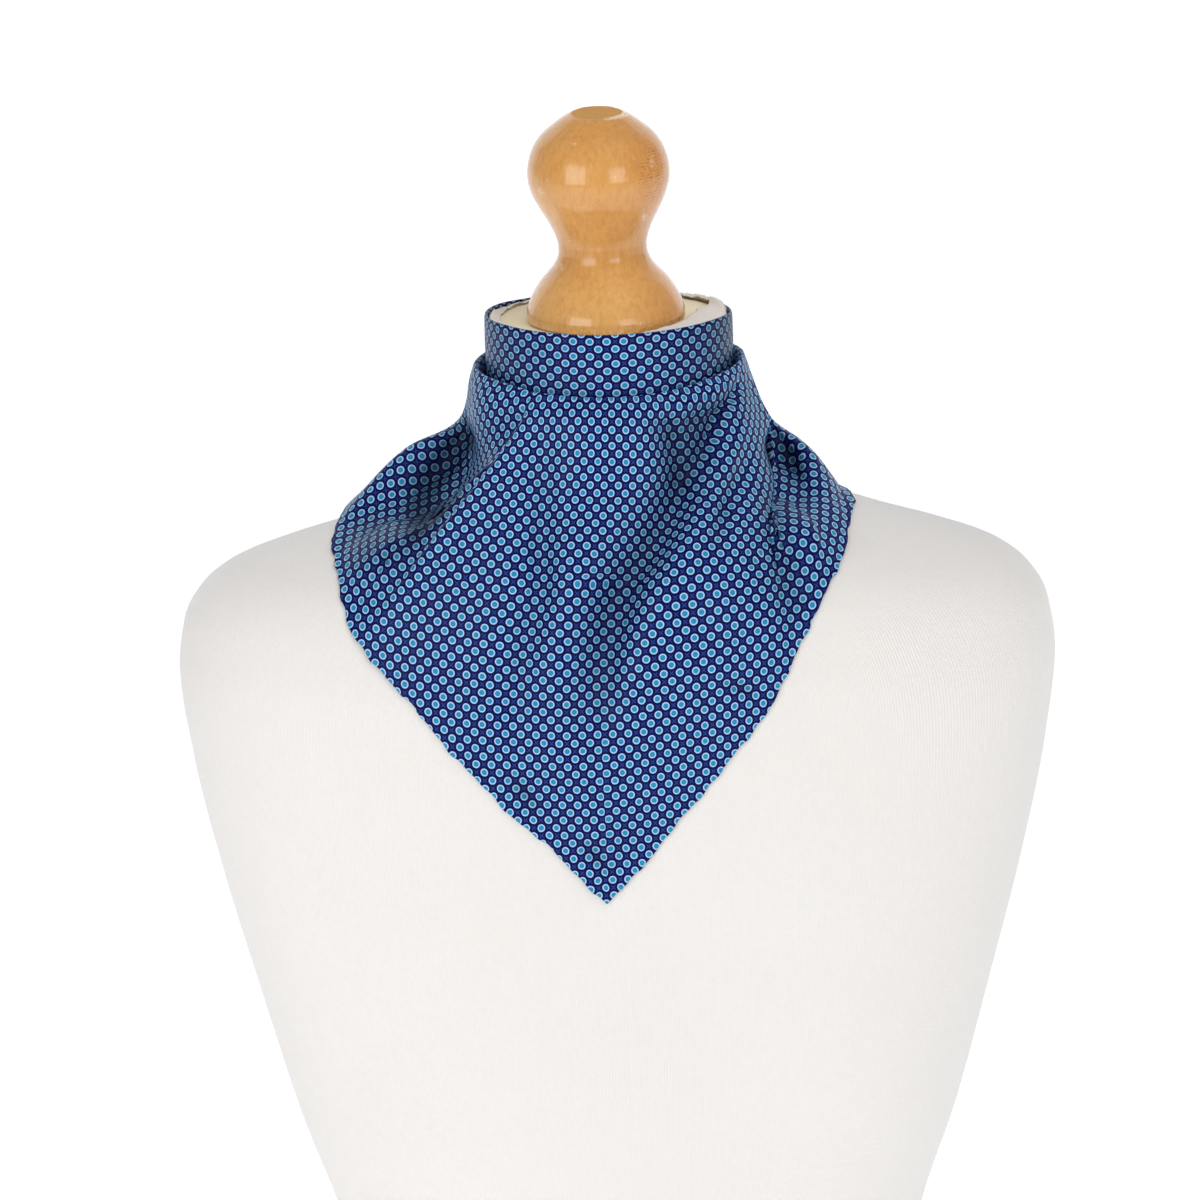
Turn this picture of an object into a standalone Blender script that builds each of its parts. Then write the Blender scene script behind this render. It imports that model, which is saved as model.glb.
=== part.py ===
# Silk pocket square folded to a triangle and tied round the neck of a limbless dress form,
# its point in front. Lengths are written in millimetres and turned to metres at the end.
# The form stands on its flat underside at z = 0, its front faces -Y, the neck is on the Z axis.

import math

import bmesh
import bpy
import numpy as np

MM = 0.001

# Driving sizes
CLOTH_WALL = 1.0
NECK_TOP = 632.0
BAND_RADIUS = 60.0
BAND_TOP = 640.0
BAND_BOTTOM = 598.0
LIP_RADIUS = 61.7
LIP_DEPTH = 10.0
CAP_RADIUS = 57.4
CAP_TOP = 634.8
SMOOTH_POWER = 7.0
ROUND_STEPS = 44
KNOT_HALF = (13.2, 10.0, 12.8)
KNOT_CENTRE = (0.0, 72.5, 603.0)
TAIL_TOP = 591.6
TAIL_DROP = 65.0
SILK = (0.012, 0.014, 0.11)

# Torso sections: height, half width, depth to the front, depth to the back, squareness of
# the oval, and the radius of the round cone that runs up into the neck.
TORSO = [
    (0, 149, 88, 90, 2.3, 40),
    (5, 152, 90, 92, 2.3, 40),
    (60, 143, 88, 86, 2.3, 40),
    (120, 138, 86, 80, 2.3, 40),
    (170, 148, 90, 82, 2.3, 40),
    (230, 167.5, 96, 88, 2.3, 42),
    (300, 186, 101, 95, 2.3, 45),
    (360, 201, 103, 100, 2.3, 50),
    (420, 213, 102, 102.5, 2.35, 56),
    (465, 218, 98, 100, 2.4, 64),
    (490, 214.5, 91, 96, 2.35, 73),
    (504, 206.5, 85, 91, 2.3, 78),
    (515, 193, 78, 84, 2.2, 80),
    (524, 171, 69, 75, 2.1, 79),
    (533, 143, 58, 64, 2.0, 76),
    (542, 117, 45, 52, 2.0, 72),
    (552, 92, 32, 38, 2.0, 67.5),
    (565, 65, 20, 25, 2.0, 63),
    (580, 42, 12, 15, 2.0, 60),
    (600, 30, 10, 10, 2.0, 58.8),
    (632, 20, 10, 10, 2.0, 58.6),
]

# Finial outline from the flat top down to the foot: radius, height.
FINIAL = [
    (0, 739.4),
    (11.8, 739.4),
    (13.4, 738.6),
    (17.6, 735.7),
    (22, 732.1),
    (25.8, 729),
    (28.6, 726),
    (30.7, 723),
    (32.3, 719.8),
    (33.5, 716.4),
    (34.4, 712.6),
    (34.8, 708.6),
    (34.5, 704.6),
    (33.6, 701),
    (32.2, 697),
    (30.2, 692.8),
    (28, 688.8),
    (25.9, 685),
    (24, 681),
    (22.6, 677.2),
    (21.7, 673.2),
    (21.8, 669.4),
    (22.8, 665.8),
    (24.6, 662.6),
    (27.6, 659.2),
    (31, 655.4),
    (34.2, 650.8),
    (36.6, 646.4),
    (38.1, 642.8),
    (38.9, 639.4),
    (38.8, 637),
    (38.3, 635.7),
    (37.2, 635.1),
    (0, 635.1),
]

# Stations round the neck, in the order of the cloth from the picture's left side of the nape
# round the front to the right side. Each station is one section of the cloth from the rolled
# crease down to the hem. "turn" is the angle from the front, in degrees, positive to the right.
# Columns: roll turn, roll radius, roll height, knee turn, radius, height (where the cloth
# leaves the neck), middle turn, radius, height, hem turn, radius, height.
WING_LEFT = [
    (-169.5, 65.0, 614.0, -169, 70.0, 600.0, -168, 73.0, 593.0, -167, 77.5, 586.0),
    (-155, 65.4, 614.5, -154, 72.0, 588.0, -154, 78.0, 579.0, -154, 87.0, 565.0),
    (-135, 65.8, 615.0, -133, 75.0, 580.0, -133, 87.0, 568.0, -133, 104.0, 550.0),
    (-115, 66.5, 615.5, -112, 77.0, 578.0, -111, 98.0, 565.0, -110, 124.0, 546.0),
    (-98, 68.0, 615.6, -94, 76.0, 583.0, -93, 101.8, 569.6, -88, 136.6, 537.5),
    (-88, 69.0, 615.4, -84, 79.5, 568.0, -85, 99.0, 555.5, -83, 138.6, 534.0),
    (-80, 69.2, 615.0, -79, 80.5, 563.5, -79, 99.0, 550.5, -78.1, 140.4, 530.0),
    (-72, 69.0, 614.6, -68, 83.0, 562.0, -70, 108.0, 543.0, -71.9, 142.8, 524.4),
    (-56, 68.4, 613.8, -56, 82.5, 567.0, -62, 108.0, 540.0, -63.8, 146.5, 512.3),
    (-45, 68.0, 612.6, -49.5, 80.5, 574.0, -58.5, 106.0, 538.5, -60.9, 147.6, 504.0),
    (-36.6, 68.0, 611.6, -47.6, 81.3, 576.5, -58.6, 107.2, 539.3, -59.98, 148.6, 500.9),
]
BIB = [
    (-36, 68.0, 611.5, -47, 83.0, 578.0, -58, 108.6, 540.5, -59.7, 148.7, 500.6),
    (-30, 68.2, 611.2, -38, 80.5, 574.0, -49, 105.0, 530.0, -50.5, 140.2, 477.8),
    (-22, 68.3, 611.0, -27, 77.0, 569.0, -36, 98.0, 520.0, -40.2, 127.4, 446.6),
    (-14, 68.2, 610.7, -16, 74.0, 565.0, -25, 91.0, 520.0, -29.4, 116.5, 418.1),
    (-8, 68.1, 610.5, -9, 73.0, 563.0, -14, 87.0, 524.0, -19.0, 109.4, 397.8),
    (-2, 68.0, 610.4, -3, 72.6, 562.0, -4.5, 85.0, 527.0, -4.7, 104.9, 368.3),
    (6, 68.0, 610.4, 5, 73.4, 562.0, 4, 86.5, 525.0, 4.7, 104.9, 387.1),
    (18, 67.8, 610.8, 16, 75.0, 562.0, 12.5, 89.0, 525.0, 14.9, 107.3, 409.7),
    (34, 67.6, 611.8, 30, 76.5, 562.0, 21, 92.0, 525.0, 24.5, 112.1, 431.9),
    (52, 67.3, 613.6, 46, 78.5, 562.0, 30, 95.0, 524.0, 32.2, 117.4, 450.7),
    (70, 67.1, 615.4, 63, 80.0, 566.0, 40, 95.5, 525.5, 42.0, 123.3, 481.1),
    (84, 66.9, 616.8, 81, 79.3, 571.0, 52.5, 88.0, 536.5, 45.8, 123.6, 495.5),
]
WING_RIGHT = [
    (84.6, 66.9, 616.9, 82.0, 77.5, 569.5, 54.6, 86.8, 537.8, 46.12, 123.6, 496.2),
    (87, 66.9, 617.0, 79, 77.0, 558.0, 66, 97.5, 540.0, 54.5, 124.2, 513.6),
    (91, 66.9, 617.1, 86, 78.5, 560.0, 77, 97.0, 548.0, 65.1, 121.9, 526.7),
    (95, 66.7, 617.1, 91, 79.2, 571.0, 86, 97.0, 560.0, 79.5, 118.0, 538.0),
    (100, 66.5, 616.9, 95, 79.8, 581.5, 93, 97.6, 566.5, 92.5, 116.4, 540.0),
    (115, 66.1, 616.2, 112, 78.0, 578.0, 112, 92.0, 564.0, 112, 108.0, 547.0),
    (135, 65.6, 615.4, 133, 75.0, 581.0, 133, 83.5, 569.0, 133, 97.0, 551.0),
    (155, 65.2, 614.6, 154, 72.0, 588.0, 154, 77.0, 580.0, 154, 84.0, 567.0),
    (169.5, 65.0, 614.0, 169, 70.0, 600.0, 168, 72.5, 594.0, 167, 76.5, 587.0),
]

# Soft folds of the bib as seen from the front: depth (negative sinks in), half width, then
# the path's points as x, z.
FOLDS = [
    ("left hollow", -3.4, 9.0, [(-37, 581), (-40, 536), (-46, 508), (-52, 455), (-55, 415)]),
    ("middle ridge", 2.6, 11.0, [(-15, 601), (-26, 534), (-30, 466), (-32, 415)]),
    ("right hollow top", -5.0, 6.5, [(31, 601), (36, 588), (38, 574), (37, 563)]),
    ("right hollow", -4.6, 7.5, [(37, 563), (25, 556), (13, 542), (3, 524), (-7, 495)]),
    ("right hollow end", -2.2, 9.0, [(-7, 495), (-8, 478), (-10, 460), (-3, 433)]),
    ("side hollow", -3.6, 5.0, [(55, 606), (55, 596), (50, 582), (46, 572)]),
    ("swag ridge", 2.4, 6.0, [(61, 592), (54, 572), (48, 564), (40, 552), (20, 535)]),
]

# Rows of faces along each stretch of a section: lip, inside, top of the roll, outside of the
# roll to the knee, knee to the middle, middle to the hem.
ROWS_BIB = (1, 2, 2, 5, 6, 12)
ROWS_WING = (1, 2, 2, 4, 4, 4)


def steady(at, places, values):
    """Smooth curve through a table's column that never overshoots it."""
    places = np.asarray(places, float)
    values = np.asarray(values, float)
    width = np.diff(places)
    rise = np.diff(values) / width
    slope = np.zeros_like(values)
    for i in range(1, len(places) - 1):
        if rise[i - 1] * rise[i] > 0:
            a = 2 * width[i] + width[i - 1]
            b = width[i] + 2 * width[i - 1]
            slope[i] = (a + b) / (a / rise[i - 1] + b / rise[i])
    slope[0] = rise[0]
    slope[-1] = rise[-1]
    at = np.clip(at, places[0], places[-1])
    i = np.clip(np.searchsorted(places, at) - 1, 0, len(places) - 2)
    t = (at - places[i]) / width[i]
    low = (1 + 2 * t) * (1 - t) ** 2 * values[i] + t * (1 - t) ** 2 * width[i] * slope[i]
    high = t * t * (3 - 2 * t) * values[i + 1] + t * t * (t - 1) * width[i] * slope[i + 1]
    return low + high


TORSO_TABLE = np.array(TORSO, float)


def torso_radius(angle, z):
    """Radius of the form at an angle round the neck (radians from +X) and a height."""
    half, front, back, power, cone = (
        steady(z, TORSO_TABLE[:, 0], TORSO_TABLE[:, k]) for k in range(1, 6)
    )
    side = np.abs(np.cos(angle)) / half
    depth = np.abs(np.sin(angle)) / np.where(np.sin(angle) < 0, front, back)
    oval = (side**power + depth**power) ** (-1 / power)
    return (oval**SMOOTH_POWER + cone**SMOOTH_POWER) ** (1 / SMOOTH_POWER)


def above_form(p):
    """Signed measure of how far points lie outside the form, along the radius."""
    return np.hypot(p[..., 0], p[..., 1]) - torso_radius(np.arctan2(p[..., 1], p[..., 0]), p[..., 2])


def clear_of_form(p, gap):
    """Points moved out along the form's own slope until they are a gap away from it."""
    p = p.copy()
    step = 0.05
    for _ in range(5):
        level = above_form(p)
        slope = np.stack(
            [(above_form(p + step * np.eye(3)[k]) - level) / step for k in range(3)], axis=-1
        )
        size = np.maximum(np.linalg.norm(slope, axis=-1), 0.05)
        lack = np.clip(gap - level / size, 0, 6)
        p += (lack / size)[..., None] * slope
    return p


def on_turn(turn, radius, z):
    """Point at an angle from the front, a radius and a height."""
    angle = math.radians(turn)
    return np.array([radius * math.sin(angle), -radius * math.cos(angle), z])


def section_knots(row):
    """The seven points that one station's section runs through."""
    turn, radius, z = row[0:3]
    return np.array(
        [
            on_turn(turn, LIP_RADIUS, z - LIP_DEPTH),
            on_turn(turn, LIP_RADIUS + 0.7, z - 3.6),
            on_turn(turn, (LIP_RADIUS + radius) / 2 + 0.3, z),
            on_turn(turn, radius, z - 3.8),
            on_turn(*row[3:6]),
            on_turn(*row[6:9]),
            on_turn(*row[9:12]),
        ]
    )


def run_through(knots, counts):
    """Points on a smooth curve through the knots, with so many steps in each stretch."""
    reach = np.linalg.norm(np.diff(knots, axis=0), axis=1)
    at = np.concatenate([[0], np.cumsum(reach)])
    slope = np.gradient(knots, at, axis=0)
    out = []
    for i, count in enumerate(counts):
        for k in range(count):
            t = k / count
            w = reach[i]
            out.append(
                (1 + 2 * t) * (1 - t) ** 2 * knots[i]
                + t * (1 - t) ** 2 * w * slope[i]
                + t * t * (3 - 2 * t) * knots[i + 1]
                + t * t * (t - 1) * w * slope[i + 1]
            )
    out.append(knots[-1])
    return np.array(out)


def between_stations(table, columns):
    """Rows of the table at evenly shared places; the hem keeps its corner at the point."""
    table = np.array(table, float)
    middle = np.array([on_turn(*row[6:9]) for row in table])
    hem = np.array([on_turn(*row[9:12]) for row in table])
    step = np.linalg.norm(np.diff(middle, axis=0), axis=1) + np.linalg.norm(np.diff(hem, axis=0), axis=1)
    place = np.concatenate([[0], np.cumsum(step)])
    at = np.linspace(0, place[-1], columns + 1)
    rows = np.stack([steady(at, place, table[:, k]) for k in range(12)], axis=-1)
    point = int(np.argmin(table[:, 11]))
    if 1 < point < len(table) - 2:
        at[np.argmin(np.abs(at - place[point]))] = place[point]
        for k in range(9, 12):
            before = steady(at, place[: point + 1], table[: point + 1, k])
            after = steady(at, place[point:], table[point:, k])
            rows[:, k] = np.where(at <= place[point], before, after)
    return rows


def distance_to_path(x, z, path):
    """Distance in the front view from points to a path, and how far along it they lie."""
    path = np.array(path, float)
    best = np.full(x.shape, 1e9)
    along = np.zeros(x.shape)
    length = np.linalg.norm(np.diff(path, axis=0), axis=1)
    total = length.sum()
    done = 0.0
    for a, b, reach in zip(path[:-1], path[1:], length):
        dx, dz = (b - a) / reach
        t = np.clip((x - a[0]) * dx + (z - a[1]) * dz, 0, reach)
        d = np.hypot(x - a[0] - t * dx, z - a[1] - t * dz)
        along = np.where(d < best, (done + t) / total, along)
        best = np.minimum(best, d)
        done += reach
    return best, along


def fold_relief(p):
    """How far the folds lift or sink the front of the cloth at each point."""
    relief = np.zeros(p.shape[:-1])
    for _, depth, width, path in FOLDS:
        d, along = distance_to_path(p[..., 0], p[..., 2], path)
        relief += depth * np.exp(-((d / width) ** 2)) * (0.55 + 0.45 * np.sin(np.pi * along))
    return relief * np.clip((-p[..., 1] - 8) / 25, 0, 1)


def grid_normals(p):
    """Outward directions of a grid of points."""
    across = np.gradient(p, axis=0)
    down = np.gradient(p, axis=1)
    n = np.cross(across, down)
    n /= np.maximum(np.linalg.norm(n, axis=-1), 1e-9)[..., None]
    return n


def cloth_grid(table, columns, rows, gap):
    """Grid of points of one stretch of cloth, folds and clearance from the form included."""
    grid = np.array([run_through(section_knots(r), rows) for r in between_stations(table, columns)])
    hang = np.linspace(0, 1, grid.shape[1])[None, :]
    normal = grid_normals(grid)
    flip = np.sign(np.sum(normal[:, -1] * grid[:, -1] * [1, 1, 0]))
    relief = fold_relief(grid) * np.clip((hang - 0.12) / 0.12, 0, 1)
    grid = grid + flip * normal * relief[..., None]
    return clear_of_form(grid, gap)


def finish_object(name, bm, colour, roughness, collection, smooth=True):
    """Object from a bmesh in millimetres, with its own Principled material."""
    bmesh.ops.recalc_face_normals(bm, faces=bm.faces)
    bmesh.ops.scale(bm, vec=(MM, MM, MM), verts=bm.verts)
    mesh = bpy.data.meshes.new(name)
    bm.to_mesh(mesh)
    bm.free()
    if smooth:
        mesh.shade_smooth()
    material = bpy.data.materials.new(name + "_finish")
    material.use_nodes = True
    shader = material.node_tree.nodes["Principled BSDF"]
    shader.inputs["Base Color"].default_value = (*colour, 1.0)
    shader.inputs["Roughness"].default_value = roughness
    mesh.materials.append(material)
    obj = bpy.data.objects.new(name, mesh)
    collection.objects.link(obj)
    return obj


def sheet_mesh(grid, closed=False):
    """Faces over a grid of points; closed joins the last column to the first."""
    bm = bmesh.new()
    verts = [[bm.verts.new(point) for point in column] for column in grid]
    columns = len(verts)
    for i in range(columns if closed else columns - 1):
        here = verts[i]
        there = verts[(i + 1) % columns]
        for j in range(len(here) - 1):
            bm.faces.new((here[j], here[j + 1], there[j + 1], there[j]))
    return bm


def give_wall(obj, wall):
    """Cloth wall, half on each side of the sheet."""
    mod = obj.modifiers.new("cloth_wall", "SOLIDIFY")
    mod.thickness = wall * MM
    mod.offset = 0.0
    return obj


def make_cloth(name, table, columns, rows, gap, collection):
    grid = cloth_grid(table, columns, rows, gap)
    obj = finish_object(name, sheet_mesh(grid), SILK, 0.45, collection)
    return give_wall(obj, CLOTH_WALL)


def make_torso(collection):
    trunk = [0, 2, 5, 30, 60, 85, 105, 120, 135, 150, 170, 200, 230, 265, 300, 330, 360, 390, 420]
    shoulders = [443, 465, 478, 490, 498, 504, 510, 515, 519.5, 524, 528.5, 533, 537.5, 542]
    neck = [547, 552, 558, 565, 572, 580, 600, NECK_TOP]
    angles = np.arange(ROUND_STEPS) / ROUND_STEPS * 2 * math.pi
    bm = bmesh.new()
    rings = []
    for z in trunk + shoulders + neck:
        radius = torso_radius(angles, np.full(ROUND_STEPS, float(z)))
        ring = [bm.verts.new((r * math.cos(a), r * math.sin(a), z)) for r, a in zip(radius, angles)]
        rings.append(ring)
    for low, high in zip(rings[:-1], rings[1:]):
        for k in range(ROUND_STEPS):
            m = (k + 1) % ROUND_STEPS
            bm.faces.new((low[k], low[m], high[m], high[k]))
    bm.faces.new(rings[0])
    bm.faces.new(rings[-1])
    return finish_object("form_body", bm, (0.84, 0.81, 0.79), 0.9, collection)


def make_cap(collection):
    bm = bmesh.new()
    bmesh.ops.create_cone(
        bm, cap_ends=True, segments=ROUND_STEPS, radius1=CAP_RADIUS, radius2=CAP_RADIUS,
        depth=CAP_TOP - NECK_TOP - 0.3,
    )
    bmesh.ops.translate(bm, vec=(0, 0, (CAP_TOP + NECK_TOP + 0.3) / 2), verts=bm.verts)
    return finish_object("form_neck_cap", bm, (0.85, 0.80, 0.62), 0.8, collection, smooth=False)


def make_finial(collection):
    bm = bmesh.new()
    chain = [bm.verts.new((r, 0, z)) for r, z in FINIAL]
    edges = [bm.edges.new(pair) for pair in zip(chain[:-1], chain[1:])]
    bmesh.ops.spin(
        bm, geom=chain + edges, cent=(0, 0, 0), axis=(0, 0, 1), angle=2 * math.pi, steps=30,
        use_merge=True, use_normal_flip=False,
    )
    bmesh.ops.remove_doubles(bm, verts=bm.verts, dist=0.001)
    return finish_object("form_finial", bm, (0.52, 0.25, 0.07), 0.25, collection)


def make_band(collection):
    angles = np.arange(56) / 56 * 2 * math.pi
    swell = [(0.0, BAND_BOTTOM), (0.0, 612.0), (0.3, 622.0), (0.2, 633.0), (0.0, BAND_TOP - 0.5)]
    levels = [(BAND_RADIUS + out, z) for out, z in swell]
    grid = np.array([[(r * math.cos(a), r * math.sin(a), z) for r, z in levels] for a in angles])
    bm = sheet_mesh(grid, closed=True)
    obj = finish_object("scarf_neck_band", bm, SILK, 0.45, collection)
    return give_wall(obj, CLOTH_WALL)


def make_knot(collection):
    bm = bmesh.new()
    bmesh.ops.create_uvsphere(bm, u_segments=20, v_segments=12, radius=1.0)
    for v in bm.verts:
        squeeze = 1 - 0.16 * math.exp(-((v.co.x / 0.35) ** 2))
        v.co.x *= KNOT_HALF[0]
        v.co.y *= KNOT_HALF[1]
        v.co.z *= KNOT_HALF[2] * squeeze
    bmesh.ops.translate(bm, vec=KNOT_CENTRE, verts=bm.verts)
    return finish_object("scarf_knot", bm, SILK, 0.45, collection)


def make_tail(side, collection):
    """One end of the scarf, hanging down the back from the knot and narrowing to its corner."""
    name = "scarf_tail_left" if side < 0 else "scarf_tail_right"
    # Share of the drop, middle's distance from the centre line, half width.
    spread = np.array([(0, 5, 4), (0.2, 9, 8), (0.45, 16, 13), (0.7, 22, 11), (0.9, 27, 6.5), (1, 29, 4)])
    grid = []
    for s in np.linspace(-1, 1, 5):
        column = []
        for t in np.linspace(0, 1, 10):
            middle = steady(t, spread[:, 0], spread[:, 1])
            half = steady(t, spread[:, 0], spread[:, 2])
            x = side * (middle + s * half * 0.8)
            y = 74 + 5 * math.sin(math.pi * t) + 1.2 * (1 - s * s)
            column.append((x, y, TAIL_TOP - TAIL_DROP * t - 0.12 * x * side))
        grid.append(column)
    grid = clear_of_form(np.array(grid), 1.4)
    obj = finish_object(name, sheet_mesh(grid), SILK, 0.45, collection)
    return give_wall(obj, CLOTH_WALL)


def main():
    for obj in list(bpy.data.objects):
        bpy.data.objects.remove(obj, do_unlink=True)
    collection = bpy.data.collections.new("pocket_square_on_dress_form")
    bpy.context.scene.collection.children.link(collection)
    make_torso(collection)
    make_cap(collection)
    make_finial(collection)
    make_band(collection)
    make_cloth("scarf_bib", BIB, 38, ROWS_BIB, 2.6, collection)
    make_cloth("scarf_wing_left", WING_LEFT, 28, ROWS_WING, 1.3, collection)
    make_cloth("scarf_wing_right", WING_RIGHT, 23, ROWS_WING, 1.3, collection)
    make_knot(collection)
    make_tail(-1, collection)
    make_tail(1, collection)


main()
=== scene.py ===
# %% [markdown]
# A silk pocket square, folded corner to corner and tied round the neck of a limbless dress form
# with its point in front. This notebook dresses a plain solid model of it: the solids keep the
# sizes, and each step here puts the real look over one of them. Lengths are in millimetres until
# a mesh is finished.

import math

import bmesh
import bpy
import numpy as np
from mathutils import Matrix, Vector


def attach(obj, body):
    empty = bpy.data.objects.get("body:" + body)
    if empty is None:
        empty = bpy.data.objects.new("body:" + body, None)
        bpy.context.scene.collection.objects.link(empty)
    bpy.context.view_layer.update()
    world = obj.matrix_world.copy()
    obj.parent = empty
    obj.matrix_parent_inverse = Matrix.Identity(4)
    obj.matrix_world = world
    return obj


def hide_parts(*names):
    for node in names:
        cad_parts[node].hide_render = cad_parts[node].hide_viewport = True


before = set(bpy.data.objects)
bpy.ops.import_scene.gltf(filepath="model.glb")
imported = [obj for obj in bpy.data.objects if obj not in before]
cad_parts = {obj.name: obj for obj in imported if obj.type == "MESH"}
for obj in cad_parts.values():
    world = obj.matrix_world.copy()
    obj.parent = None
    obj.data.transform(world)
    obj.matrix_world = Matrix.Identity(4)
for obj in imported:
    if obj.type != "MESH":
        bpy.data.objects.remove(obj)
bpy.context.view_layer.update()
MM = 0.001
print("solids:", sorted(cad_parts))

# %% [markdown]
# The form's torso is a stack of ovals. Each row of this table is one oval: its height, half
# width, depth to the front and to the back, how square it is, and the round cone that leads up
# into the neck. The cloth needs the same table, because it must lie just clear of the form.

# %% Torso ovals
TORSO = [
    (0, 149, 88, 90, 2.3, 40),
    (5, 152, 90, 92, 2.3, 40),
    (60, 143, 88, 86, 2.3, 40),
    (120, 138, 86, 80, 2.3, 40),
    (170, 148, 90, 82, 2.3, 40),
    (230, 167.5, 96, 88, 2.3, 42),
    (300, 186, 101, 95, 2.3, 45),
    (360, 201, 103, 100, 2.3, 50),
    (420, 213, 102, 102.5, 2.35, 56),
    (465, 218, 98, 100, 2.4, 64),
    (490, 214.5, 91, 96, 2.35, 73),
    (504, 206.5, 85, 91, 2.3, 78),
    (515, 193, 78, 84, 2.2, 80),
    (524, 171, 69, 75, 2.1, 79),
    (533, 143, 58, 64, 2, 76),
    (542, 117, 45, 52, 2, 72),
    (552, 92, 32, 38, 2, 67.5),
    (565, 65, 20, 25, 2, 63),
    (580, 42, 12, 15, 2, 60),
    (600, 30, 10, 10, 2, 58.8),
    (632, 20, 10, 10, 2, 58.6),
]


def smooth_stretch(t, width, values, slope, i):
    """Smooth curve from value i to the next, a share t of the way."""
    low = (1 + 2 * t) * (1 - t) ** 2 * values[i] + t * (1 - t) ** 2 * width[i] * slope[i]
    high = t * t * (3 - 2 * t) * values[i + 1] + t * t * (t - 1) * width[i] * slope[i + 1]
    return low + high


def steady(at, places, values):
    """A smooth curve through a column of a table that never overshoots it."""
    places = np.asarray(places, float)
    values = np.asarray(values, float)
    width = np.diff(places)
    rise = np.diff(values) / width
    slope = np.zeros_like(values)
    for i in range(1, len(places) - 1):
        if rise[i - 1] * rise[i] > 0:
            a = 2 * width[i] + width[i - 1]
            b = width[i] + 2 * width[i - 1]
            slope[i] = (a + b) / (a / rise[i - 1] + b / rise[i])
    slope[0] = rise[0]
    slope[-1] = rise[-1]
    at = np.clip(at, places[0], places[-1])
    i = np.clip(np.searchsorted(places, at) - 1, 0, len(places) - 2)
    return smooth_stretch((at - places[i]) / width[i], width, values, slope, i)


TORSO = np.array(TORSO, float)
NECK_BLEND = 7.0


def torso_radius(angle, z):
    """Radius of the form at an angle round the neck and a height."""
    half, front, back, power, cone = (
        steady(z, TORSO[:, 0], TORSO[:, k]) for k in range(1, 6)
    )
    side = np.abs(np.cos(angle)) / half
    depth = np.abs(np.sin(angle)) / np.where(np.sin(angle) < 0, front, back)
    oval = (side**power + depth**power) ** (-1 / power)
    return (oval**NECK_BLEND + cone**NECK_BLEND) ** (1 / NECK_BLEND)


def clear_of_form(p, gap):
    """Points moved out along the form's slope until they are a gap away from it."""

    def above(q):
        return np.hypot(q[..., 0], q[..., 1]) - torso_radius(np.arctan2(q[..., 1], q[..., 0]), q[..., 2])

    p = p.copy()
    for _ in range(5):
        level = above(p)
        slope = np.stack([(above(p + 0.05 * np.eye(3)[k]) - level) / 0.05 for k in range(3)], axis=-1)
        size = np.maximum(np.linalg.norm(slope, axis=-1), 0.05)
        lack = np.clip(gap - level / size, 0, 6)
        p += (lack / size)[..., None] * slope
    return p


print("neck radius at the shoulders:", round(float(torso_radius(-math.pi / 2, 580.0)), 1))

# %% [markdown]
# Most pieces here are sheets: a bmesh grid whose points are moved onto a shape that a function
# works out, column by column. The grid's own UV map holds the cloth's flat place in metres, so
# a print or a knit follows the surface through every fold. A round piece is the same grid with
# its last column merged onto its first.


# %% Sheet maker
def in_metres(name, bm, finish):
    """Object from a bmesh in millimetres."""
    bmesh.ops.scale(bm, vec=(MM, MM, MM), verts=bm.verts)
    mesh = bpy.data.meshes.new(name)
    bm.to_mesh(mesh)
    bm.free()
    mesh.materials.append(finish)
    obj = bpy.data.objects.new(name, mesh)
    bpy.context.scene.collection.objects.link(obj)
    return obj


def smooth_piece(name, bm, finish):
    """Smooth piece of the part, attached to its body."""
    obj = in_metres(name, bm, finish)
    obj.data.shade_smooth()
    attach(obj, "root")
    return obj


def grid_sheet(points, flat, closed=False, turned=False):
    """bmesh of a grid moved to points, an array of columns by rows, with flat as its UV map."""
    columns, rows = points.shape[:2]
    bm = bmesh.new()
    bmesh.ops.create_grid(bm, x_segments=columns - 1, y_segments=rows - 1, size=1.0)
    bm.verts.ensure_lookup_table()
    places = points.transpose(1, 0, 2).reshape(-1, 3)
    cut = flat.transpose(1, 0, 2).reshape(-1, 2) * MM
    for vert, place in zip(bm.verts, places):
        vert.co = place
    layer = bm.loops.layers.uv.new("cut")
    for face in bm.faces:
        for loop in face.loops:
            loop[layer].uv = cut[loop.vert.index]
    if closed:
        bmesh.ops.remove_doubles(bm, verts=bm.verts, dist=0.001)
    if turned:
        bmesh.ops.reverse_faces(bm, faces=bm.faces)
    return bm


def steps_along(points):
    """Lengths of the steps from each point to the next."""
    return np.linalg.norm(np.diff(points, axis=0), axis=-1)


def run_along(points):
    """How far along the line each point lies."""
    return np.concatenate([[0], np.cumsum(steps_along(points))])


def arc_flat(points):
    """Flat places of a gently curved grid: lengths along its middle row and its columns."""
    middle = points[:, points.shape[1] // 2]
    across = run_along(middle)
    down = np.linalg.norm(np.diff(points, axis=1), axis=2).cumsum(axis=1)
    down = np.concatenate([np.zeros((len(points), 1)), down], axis=1)
    return np.stack([np.broadcast_to(across[:, None], down.shape), -down], axis=-1)


# %% [markdown]
# Shader maths reads best as plain expressions. A Wire wraps one socket, and adding or
# multiplying it adds the Math node. A Finish owns one material; its add method makes any other
# node, with the node's settings first and its sockets after them.


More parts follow.
